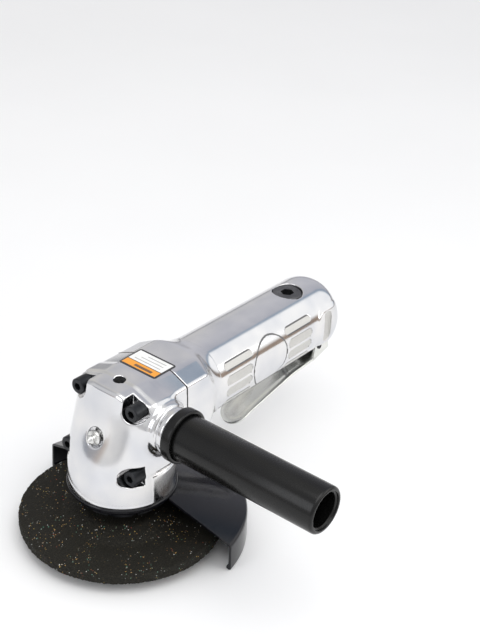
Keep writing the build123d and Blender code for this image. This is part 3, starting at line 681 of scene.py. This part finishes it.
def abrasive():
    """Resin-bonded grain: near-black base with scattered bright and coloured specks."""
    r = Recipe("abrasive_grain", roughness=0.75, Specular_IOR_Level=0.22)
    cells = r.node("ShaderNodeTexVoronoi")
    cells.inputs["Scale"].default_value = 1500.0
    r.link(r.place, cells.inputs["Vector"])
    pick = r.node("ShaderNodeSeparateColor")
    r.link(cells.outputs["Color"], pick.inputs["Color"])
    tint = r.ramp(pick.outputs["Green"], [(0.0, (0.55, 0.50, 0.40)), (0.22, (0.65, 0.36, 0.10)),
                                          (0.45, (0.60, 0.50, 0.15)), (0.62, (0.45, 0.07, 0.05)),
                                          (0.72, (0.10, 0.42, 0.28)), (0.86, (0.75, 0.75, 0.72))])
    chosen = r.maths("GREATER_THAN", pick.outputs["Red"], 0.925)
    centre = r.maths("LESS_THAN", cells.outputs["Distance"], 0.42)
    speck = r.maths("MULTIPLY", chosen, centre)
    patchy = r.level(r.noise(90.0, 2.0), 0.0, 1.0, 0.42, 0.62)
    speck = r.maths("MULTIPLY", speck, patchy)
    grain = r.noise(1500.0, 5.0, 0.75)
    base = r.ramp(grain, [(0.30, (0.003, 0.003, 0.002)), (0.52, (0.012, 0.011, 0.008)),
                          (0.72, (0.060, 0.055, 0.040))])
    r.colour(r.mix(speck, base, tint))
    r.roughness(r.level(grain, 0.55, 0.85))
    r.bump(grain, 0.8, 0.5)
    return r.material


MATERIALS = {
    "cast_aluminium": polished_aluminium(),
    "black_oxide": black_oxide(),
    "black_enamel": gloss_enamel(),
    "handle_black": satin_black(),
    "bright_steel": bright_steel(),
    "machined_steel": grained("machined_steel", (900.0, 4.0, 0.7), ((0.42, 0.42, 0.43), (0.60, 0.60, 0.60)),
                              (0.15, 0.05), (0.22, 0.4), (0.2, 1.0, 1.0), metallic=1.0),
    "lever_steel": brushed_lever(),
    "regulator_steel": dark_satin_metal(),
    "abrasive": abrasive(),
    "gasket_paper": grained("gasket_paper", (2000.0, 4.0, 0.6), ((0.03, 0.028, 0.026), (0.07, 0.065, 0.06)),
                            (0.3, 0.1), roughness=0.8),
    "seal_rubber": grained("seal_rubber", (1200.0, 3.0), ((0.012, 0.012, 0.012), (0.028, 0.028, 0.028)),
                           (0.2, 0.08), roughness=0.55),
    "blade_composite": grained("blade_composite", (900.0, 4.0, 0.7), ((0.16, 0.09, 0.045), (0.30, 0.19, 0.10)),
                               (0.2, 0.1), stretch=(0.2, 1.0, 1.0), roughness=0.5),
    "sintered_bronze": grained("sintered_bronze", (2400.0, 5.0, 0.8), ((0.22, 0.13, 0.06), (0.62, 0.42, 0.22)),
                               (0.8, 0.4), metallic=0.8, roughness=0.6),
}
# unpolished floors of the slots, and painted shade for the recessed slot walls, the ring groove and the top
# hole's inside
MATTE_CAST = grained("matte_cast_aluminium", (2600.0, 5.0, 0.7), ((0.50, 0.50, 0.48), (0.74, 0.73, 0.71)),
                     (0.5, 0.25), (0.42, 0.6), metallic=0.75)
# painted shade: darkened aluminium laid on the slot walls, the ring groove and inside the top hole, where shade
# falls
PAINTED_SHADE_CAST = grained("painted_shade_cast_aluminium", (2200.0, 4.0, 0.7), ((0.10, 0.10, 0.105), (0.20, 0.20, 0.20)),
                    (0.3, 0.15), (0.4, 0.6), metallic=0.8)


def dress(piece, slot, material=None):
    """Gives a new piece its material slot and its material."""
    piece.data.materials.clear()
    piece.data.materials.append(material or MATERIALS[slot])
    return piece


# ---- housings -----------------------------------------------------------------------------------------
def mark_faces(piece, points, faces, marks):
    """Gives the faces inside each region a further material; later regions win over earlier ones."""
    middles = points[faces].mean(axis=1)
    index = np.zeros(len(piece.data.polygons), dtype=np.int32)
    for place, (region, material) in enumerate(marks, start=1):
        piece.data.materials.append(material)
        index[region(*middles.T)] = place
    piece.data.polygons.foreach_set("material_index", index)


def all_slots(x, y, h):
    side, flank = np.abs(y), np.abs(h - AXIS_H)
    return np.minimum(slot_field(x, side, flank), slot_field(x, side, -flank))


def in_slot_wall(x, y, h):
    return all_slots(x, y, h) < 0.3


def in_matte_floor(x, y, h):
    side = np.abs(y)
    slot = np.hypot(y, h - AXIS_H) < grip_radius(0.36) - SLOT_DEPTH + 0.35
    floor = (all_slots(x, y, h) < 0.2) & slot
    return floor | (oval_field(x, side, h) < 0.12)


def in_seam(x, y, h):
    ring = np.abs(disc(x - GROOVE_X, h - AXIS_H, GROOVE_R)) < 0.45
    buried = grip_section_field(y, h - AXIS_H) < -0.12
    return ring & buried & (np.abs(y) > 8)


def in_top_hole(x, y, h):
    return (disc(x - TOP_HOLE_X, y, THREAD_R + 0.15) < 0) & (h < CROWN_H - 0.5) & (h > TOP_HOLE_FLOOR - 1.4)


def build_housings(step=0.5):
    low, high = (-31.5, -38.0, -1.5), (32.0, 38.0, CROWN_H + 1.5)
    gear, points, quads = field_object("gear_housing_shell", gear_housing_field, low, high, step, "housing")
    dress(gear, "cast_aluminium")
    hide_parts("gear_housing")
    # painted shade inside the top hole
    mark_faces(gear, points, quads, [(in_top_hole, PAINTED_SHADE_CAST)])
    low, high = (JOINT_X - 1.0, -30.0, 12.0), (REAR_X + 2.0, 30.0, CROWN_H + 1.5)
    motor, points, quads = field_object("motor_housing_shell", motor_housing_field, low, high, step, "housing")
    dress(motor, "cast_aluminium")
    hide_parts("motor_housing")
    # painted shade on the slot walls and in the ring groove; the slot floors get matte cast aluminium
    marks = [(in_slot_wall, PAINTED_SHADE_CAST), (in_matte_floor, MATTE_CAST), (in_seam, PAINTED_SHADE_CAST)]
    mark_faces(motor, points, quads, marks)


def build_lever():
    low, high = (HINGE_X - 80, -15.5, -12.0), (HINGE_X + 12, 15.5, 29.0)
    lever, _, _ = field_object("lever_stamping", lever_field, low, high, 0.4, "lever_group")
    dress(lever, "lever_steel")
    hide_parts("throttle_lever")


# ---- side handle ---------------------------------------------------------------------------------------
def build_handle():
    centre = (HANDLE_X, 0, HANDLE_H)
    bore_r, floor_y = 9.5, -50.0
    outline = [(0, HANDLE_START, 0), (HANDLE_R, HANDLE_START, 0.5), (HANDLE_R, HANDLE_END, 1.7),
               (bore_r + 1.1, HANDLE_END, 0.5), (bore_r + 0.9, HANDLE_END + 1.1, 0.3),
               (bore_r, HANDLE_END + 1.6, 0.4), (bore_r, floor_y, 0.5), (0, floor_y, 0)]
    dress(turned("handle_tube_turned", outline, "housing", "y", centre, 160), "handle_black")
    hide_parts("handle_tube")
    low, high = box_mm("handle_collar")
    collar_r, hole_r, seat_y = (high[0] - low[0]) / 2, 3.9, high[1] - 5.7
    outline = [(hole_r, high[1], 0), (collar_r - 1.4, high[1], 0.5), (collar_r, high[1] - 1.2, 0.9),
               (collar_r, low[1], 1.1), (HANDLE_R + 0.02, low[1], 0), (HANDLE_R + 0.02, seat_y, 0),
               (hole_r, seat_y, 0)]
    dress(turned("handle_collar_turned", outline, "housing", "y", centre, 160), "handle_black")
    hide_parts("handle_collar")


# ---- wheel, flanges and guard --------------------------------------------------------------------------
def build_flange_plate():
    outline = [(18.6, 0, 0), (30.3, 0, 0.4), (30.6, -0.5, 0.2), (30.6, -1.6, 0.3), (30.0, -2.0, 0.3),
               (18.6, -2.0, 0)]
    dress(turned("flange_plate_turned", outline, "housing", count=160), "black_enamel")
    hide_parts("flange_plate")


def wheel_outline():
    """(radius, height) along the wheel's surface, from the bore over the top to the rim and back below."""
    top, hub, thick = -21.8, -16.55, 6.0
    corners = [(12.1, hub, 0), (22.5, hub, 6.0), (33.5, top, 7.0), (WHEEL_R, top, 0.9),
               (WHEEL_R, top - thick, 0.7), (33.0, top - thick, 6.0), (22.0, hub - thick, 5.0),
               (12.1, hub - thick, 0)]
    return np.array(rounded(corners, 8))


def build_wheel(spacing=0.55):
    """Abrasive disc with a grainy, slightly ragged surface."""
    outline = wheel_outline()
    gaps = np.linalg.norm(np.diff(outline, axis=0), axis=1)
    reach = np.concatenate([[0], np.cumsum(gaps)])
    places = np.linspace(0, reach[-1], int(reach[-1] / spacing))
    profile = np.stack([np.interp(places, reach, outline[:, i]) for i in (0, 1)], 1)
    tangent = np.gradient(profile, axis=0)
    normal = np.stack([-tangent[:, 1], tangent[:, 0]], 1)
    normal /= np.linalg.norm(normal, axis=1)[:, None]
    around = 560
    random = np.random.default_rng(11)
    grain = random.normal(0, 1, (around, len(profile)))
    for axis in (0, 1):
        grain = (grain + 0.5 * np.roll(grain, 1, axis)) / 1.2
    rim = np.exp(-((profile[:, 0] - WHEEL_R) / 1.2) ** 2)
    slope = np.exp(-((profile[:, 0] - 28.0) / 6.0) ** 2) * (profile[:, 1] > -23)
    size = 0.10 + 0.16 * rim + 0.08 * slope
    bore = (profile[:, 0] > 12.6).astype(float)
    height = np.clip(grain, -1.6, 1.6) * size * bore
    height = np.where(height > 0, height * 0.6, height)
    angles = 2 * math.pi * np.arange(around) / around
    radius = profile[None, :, 0] - normal[None, :, 0] * -height - 0.25 * rim
    level = profile[None, :, 1] - normal[None, :, 1] * -height
    points = np.stack([radius * np.cos(angles)[:, None], radius * np.sin(angles)[:, None], level], 2)
    n = len(profile)
    first = np.arange(around)[:, None] * n + np.arange(n)[None, :]
    second = np.roll(first, -1, 0)
    faces = np.stack([first, second, np.roll(second, -1, 1), np.roll(first, -1, 1)], 2).reshape(-1, 4)
    wheel = mesh_object("grinding_wheel_grain", points.reshape(-1, 3), faces.tolist(), "spindle_group")
    tidy_mesh(wheel)
    dress(wheel, "abrasive")
    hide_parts("grinding_wheel")


def build_guard():
    """Guard sheet: ring round the neck, sloping roof, rim and curled lower edge."""
    low = box_mm("wheel_guard")[0][2] - FOOT_Z
    outer = box_mm("wheel_guard")[1][0]
    inner = outer - 1.6
    curl = 1.5
    sheet = [(29.0, -2.3, 0.2), (30.6, -2.3, 1.5), (outer - 0.4, -17.6, 2.6), (outer, low + curl, 0.0),
             (outer, low + 0.6, 0.6), (outer - 1.2, low, 0.9), (outer - 2.9, low + 0.8, 0.8),
             (outer - 2.7, low + 2.4, 0.7), (inner, low + 3.0, 0.3),
             (inner, -18.6, 1.4), (29.7, -3.9, 1.2), (29.0, -3.9, 0.2)]
    guard = turned("wheel_guard_sheet", sheet, "guard_group", count=150, span=(-80, 80), segments=5)
    sharp_by_angle(guard, 40)
    bevel = guard.modifiers.new("soft_edges", "BEVEL")
    bevel.width, bevel.segments, bevel.angle_limit = 0.25 * MM, 2, math.radians(50)
    dress(guard, "black_enamel")
    ring = [(18.7, -2.3, 0.3), (29.2, -2.3, 0.2), (29.2, -3.9, 0.2), (18.7, -3.9, 0.3)]
    collar = dress(turned("wheel_guard_ring", ring, "guard_group", count=128), "black_enamel")
    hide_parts("wheel_guard")
    ear_points = []
    for h in (-11.0, -3.0):
        for radial, across in ((25.7, -6.0), (29.6, -6.0), (29.6, 6.0), (25.7, 6.0)):
            angle = math.radians(CLAMP_ANGLE)
            ear_points.append((radial * math.cos(angle) - across * math.sin(angle),
                               radial * math.sin(angle) + across * math.cos(angle), h))
    faces = [(3, 2, 1, 0), (4, 5, 6, 7), (0, 1, 5, 4), (1, 2, 6, 5), (2, 3, 7, 6), (3, 0, 4, 7)]
    ear = mesh_object("wheel_guard_ear", ear_points, faces, "guard_group", smooth=False)
    tidy_mesh(ear)
    soften = ear.modifiers.new("soft_edges", "BEVEL")
    soften.width, soften.segments = 0.7 * MM, 3
    dress(ear, "black_enamel")
    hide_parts("wheel_guard")
    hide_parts("wheel_guard")


# ---- fittings ------------------------------------------------------------------------------------------
def build_nipple():
    low, high = box_mm("grease_nipple")
    centre = (0, 0, NIPPLE_H)
    tip, seat = low[0], low[0] + 4.2
    outline = [(0, tip, 0), (1.2, tip, 0.3), (2.8, tip + 1.3, 0.5), (2.8, tip + 2.0, 0.4),
               (2.0, tip + 2.8, 0.4), (2.0, tip + 3.6, 0.2), (4.2, seat, 0.3), (4.2, seat + 1.6, 0.2),
               (2.9, seat + 1.6, 0), (2.9, high[0], 0), (0, high[0], 0)]
    dress(turned("grease_nipple_turned", outline, "housing", "x", centre, 48), "bright_steel")
    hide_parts("grease_nipple")


def dress_cad_nodes():
    """Better materials for every CAD node that stays."""
    slots = {s["node"]: s["material_slot"] for s in frame["record"]["subparts"]}
    for node, piece in frame["nodes"].items():
        slot = slots[node]
        if slot not in MATERIALS:
            continue
        piece.data.materials.clear()
        piece.data.materials.append(MATERIALS[slot])


# ---- label -----------------------------------------------------------------------------------------------
def label_material(low, high):
    """Generic printed label: dark border, plain white field and an orange band, with grey rules."""
    r = Recipe("label_print", roughness=0.35, Coat_Weight=0.3)
    split = r.node("ShaderNodeSeparateXYZ")
    r.link(r.place, split.inputs["Vector"])

    def band(axis, start, end):
        after = r.maths("GREATER_THAN", split.outputs[axis], start * MM)
        before = r.maths("LESS_THAN", split.outputs[axis], end * MM)
        return r.maths("MULTIPLY", after, before)

    frame_mm, rule = 1.25, 0.55
    inside = r.maths("MULTIPLY", band("X", low[0] + frame_mm, high[0] - frame_mm),
                     band("Y", low[1] + frame_mm, high[1] - frame_mm))
    orange = band("X", low[0] + frame_mm, low[0] + 6.2)
    divider = band("X", low[0] + 6.2, low[0] + 6.7)
    paper = r.ramp(r.noise(300.0), [(0.3, (0.80, 0.80, 0.78)), (0.7, (0.88, 0.88, 0.87))])
    colour = r.mix(orange, paper, (0.85, 0.33, 0.02))
    lines = divider
    for i in range(3):
        start = low[0] + 8.6 + 2.6 * i
        length = band("Y", low[1] + 4.0, high[1] - 4.0 - 2.5 * i)
        rows = r.maths("MULTIPLY", band("X", start, start + rule), length)
        lines = r.maths("ADD", lines, r.maths("MULTIPLY", rows, 0.6))
    mark = r.maths("MULTIPLY", band("X", low[0] + 2.4, low[0] + 4.4), band("Y", low[1] + 5.0, high[1] - 9.0))
    lines = r.maths("ADD", lines, r.maths("MULTIPLY", mark, 0.85))
    colour = r.mix(lines, colour, (0.03, 0.03, 0.03))
    r.colour(r.mix(inside, (0.015, 0.015, 0.017), colour))
    r.bump(r.noise(500.0), 0.05, 0.05)
    return r.material


def build_label():
    """The label lies on the crowned top of the two housings."""
    low, high = box_mm("label_plate")
    columns, rows, corner = 24, 36, 1.6
    half = (high[:2] - low[:2]) / 2
    centre = (high[:2] + low[:2]) / 2
    points = []
    for layer in (0.16, -0.3):
        for i in range(columns + 1):
            for j in range(rows + 1):
                u, v = 2 * i / columns - 1, 2 * j / rows - 1
                x, y = u * half[0], v * half[1]
                over_x, over_y = abs(x) - half[0] + corner, abs(y) - half[1] + corner
                if over_x > 0 and over_y > 0:
                    reach = max(over_x, over_y)
                    scale = reach / math.hypot(over_x, over_y)
                    x -= math.copysign(over_x * (1 - scale), x)
                    y -= math.copysign(over_y * (1 - scale), y)
                x, y = x + centre[0], y + centre[1]
                points.append((x, y, crown_height(x, y) + layer))
    faces = []
    size = (columns + 1) * (rows + 1)
    for i in range(columns):
        for j in range(rows):
            a = i * (rows + 1) + j
            b = a + rows + 1
            faces.append((a, b, b + 1, a + 1))
            faces.append((size + a, size + a + 1, size + b + 1, size + b))
    rim = [i * (rows + 1) for i in range(columns + 1)]
    rim += [columns * (rows + 1) + j for j in range(1, rows + 1)]
    rim += [i * (rows + 1) + rows for i in range(columns - 1, -1, -1)]
    rim += [j for j in range(rows - 1, 0, -1)]
    for a, b in zip(rim, rim[1:] + rim[:1]):
        faces.append((b, a, size + a, size + b))
    label = mesh_object("generic_label", points, faces, "housing", smooth=False)
    dress(label, "label_print", label_material(low, high))
    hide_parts("label_plate")


def crown_height(x, y):
    """Height of the housing's top above the foot at a place, found on the distance field."""
    field = gear_housing_field if x < JOINT_X - 0.5 else motor_housing_field
    if JOINT_X - 0.5 <= x < JOINT_X + 0.8:
        x = JOINT_X + 0.8
    low, high = CROWN_H - 8.0, CROWN_H + 1.0
    for _ in range(24):
        guess = (low + high) / 2
        inside = field(np.array([x]), np.array([y]), np.array([guess]))[0] < 0
        low, high = (guess, high) if inside else (low, guess)
    return low


# ---- stage ---------------------------------------------------------------------------------------------
def build_stage():
    """Pale floor that runs far behind the tool and ends a little in front, so the metal mirrors the horizon."""
    size, front = 8.0, 0.5
    middle = size / 2 - front
    bpy.ops.mesh.primitive_plane_add(size=size, location=(middle, middle, cad_low[2] - 0.0001))
    floor = bpy.context.object
    floor.name = "floor"
    r = Recipe("floor_paper", roughness=0.6)
    r.colour(r.ramp(r.noise(3.0), [(0.3, (0.92, 0.92, 0.92)), (0.7, (0.95, 0.95, 0.95))]))
    floor.data.materials.append(r.material)


def softbox(name, place, target, size, power, colour=(1, 1, 1)):
    data = bpy.data.lights.new(name, "AREA")
    data.shape, data.size, data.size_y = "RECTANGLE", size[0], size[1]
    data.energy, data.color = power, colour
    lamp = bpy.data.objects.new(name, data)
    lamp.location = place
    lamp.rotation_euler = (Vector(target) - Vector(place)).to_track_quat("-Z", "Y").to_euler()
    bpy.context.scene.collection.objects.link(lamp)


def compass_ramp(tree, turn, stops):
    """Colour by compass direction; stops are (degrees from +X, colour)."""
    ramp = tree.nodes.new("ShaderNodeValToRGB")
    elements = ramp.color_ramp.elements
    while len(elements) < len(stops):
        elements.new(0.5)
    for element, (degrees, colour) in zip(elements, stops):
        element.position = (degrees + 180) / 360
        element.color = (*colour, 1.0)
    tree.links.new(turn, ramp.inputs["Fac"])
    return ramp.outputs["Color"]


HIGH_SKY = [(-180, (0.70, 0.70, 0.72)), (-150, (0.86, 0.86, 0.87)), (-135, (0.60, 0.60, 0.62)),
            (-115, (0.88, 0.88, 0.88)), (-60, (1.28, 1.28, 1.28)), (-12, (1.25, 1.26, 1.28)),
            (-5, (0.28, 0.38, 0.50)), (2, (0.60, 0.61, 0.67)), (35, (0.70, 0.70, 0.75)),
            (60, (0.80, 0.78, 0.74)), (100, (0.55, 0.55, 0.57)), (130, (0.85, 0.85, 0.86)),
            (180, (0.70, 0.70, 0.72))]
HORIZON = [(-180, (0.80, 0.80, 0.81)), (-163, (0.60, 0.60, 0.62)), (-150, (0.85, 0.85, 0.85)),
           (-132, (0.48, 0.49, 0.51)), (-118, (0.85, 0.84, 0.83)), (-98, (0.72, 0.70, 0.69)),
           (-80, (0.60, 0.55, 0.52)), (-48, (0.38, 0.29, 0.23)), (-10, (0.24, 0.22, 0.21)),
           (40, (0.40, 0.40, 0.42)), (105, (0.42, 0.44, 0.47)), (125, (0.85, 0.85, 0.86)),
           (142, (0.42, 0.44, 0.48)), (152, (0.60, 0.53, 0.49)), (160, (0.85, 0.85, 0.86)),
           (180, (0.80, 0.80, 0.81))]


def build_lights():
    """A light tent: bright panels with a few darker seams, and a darker horizon behind the tool."""
    world = bpy.data.worlds.new("studio")
    world.use_nodes = True
    bpy.context.scene.world = world
    tree = world.node_tree
    place = tree.nodes.new("ShaderNodeTexCoord").outputs["Generated"]
    split = tree.nodes.new("ShaderNodeSeparateXYZ")
    tree.links.new(place, split.inputs["Vector"])
    compass = tree.nodes.new("ShaderNodeMath")
    compass.operation = "ARCTAN2"
    tree.links.new(split.outputs["Y"], compass.inputs[0])
    tree.links.new(split.outputs["X"], compass.inputs[1])
    turn = tree.nodes.new("ShaderNodeMapRange")
    turn.inputs["From Min"].default_value, turn.inputs["From Max"].default_value = -math.pi, math.pi
    tree.links.new(compass.outputs["Value"], turn.inputs["Value"])
    lift = tree.nodes.new("ShaderNodeMapRange")
    lift.interpolation_type = "SMOOTHSTEP"
    lift.inputs["From Min"].default_value, lift.inputs["From Max"].default_value = 0.02, 0.17
    tree.links.new(split.outputs["Z"], lift.inputs["Value"])
    mix = tree.nodes.new("ShaderNodeMix")
    mix.data_type = "RGBA"
    tree.links.new(lift.outputs["Result"], mix.inputs[0])
    tree.links.new(compass_ramp(tree, turn.outputs["Result"], HORIZON), mix.inputs[6])
    tree.links.new(compass_ramp(tree, turn.outputs["Result"], HIGH_SKY), mix.inputs[7])
    top = tree.nodes.new("ShaderNodeMapRange")
    top.inputs["From Min"].default_value, top.inputs["From Max"].default_value = 0.80, 0.95
    tree.links.new(split.outputs["Z"], top.inputs["Value"])
    roof = tree.nodes.new("ShaderNodeMix")
    roof.data_type = "RGBA"
    roof.inputs[7].default_value = (1.0, 1.0, 1.0, 1.0)
    tree.links.new(top.outputs["Result"], roof.inputs[0])
    tree.links.new(mix.outputs[2], roof.inputs[6])
    tree.links.new(roof.outputs[2], tree.nodes["Background"].inputs["Color"])
    tree.nodes["Background"].inputs["Strength"].default_value = 0.95
    centre = (0.05, -0.03, 0.05)
    softbox("top_box", (-0.15, -0.35, 1.0), centre, (0.8, 0.8), 4.0)
    softbox("left_box", (-0.9, 0.15, 0.5), centre, (0.35, 0.6), 1.4, (0.95, 0.97, 1.0))
    softbox("right_box", (0.45, -0.85, 0.4), centre, (0.7, 0.2), 1.2, (1.0, 0.985, 0.96))


# camera found by fitting the tool's measured features in the view: angles in degrees, lengths in mm
AZIMUTH, ELEVATION, ROLL = -52.43, 29.54, 3.40
DISTANCE, OFFSET_X, OFFSET_Y = 706.9, 65.02, 86.45
LENS = 71.96


def build_camera():
    az, el, roll = (math.radians(a) for a in (AZIMUTH, ELEVATION, ROLL))
    back = Vector((math.sin(az) * math.cos(el), -math.cos(az) * math.cos(el), math.sin(el)))
    level = Vector((math.cos(az), math.sin(az), 0))
    steep = back.cross(level)
    right = level * math.cos(roll) + steep * math.sin(roll)
    up = steep * math.cos(roll) - level * math.sin(roll)
    data = bpy.data.cameras.new("camera")
    data.lens, data.sensor_width = LENS, 36.0
    data.clip_start, data.clip_end = 0.05, 20.0
    camera = bpy.data.objects.new("camera", data)
    place = (right * OFFSET_X + up * OFFSET_Y + back * DISTANCE) * MM + Vector((0, 0, FOOT_Z * MM))
    axes = Matrix((right, up, back)).transposed().to_4x4()
    camera.matrix_world = Matrix.Translation(place) @ axes
    bpy.context.scene.collection.objects.link(camera)
    bpy.context.scene.camera = camera


bpy.context.scene.view_settings.view_transform = "Standard"
build_camera()
build_stage()
build_lights()
dress_cad_nodes()
build_housings()
build_lever()
build_handle()
build_flange_plate()
build_wheel()
build_guard()
build_nipple()
build_label()
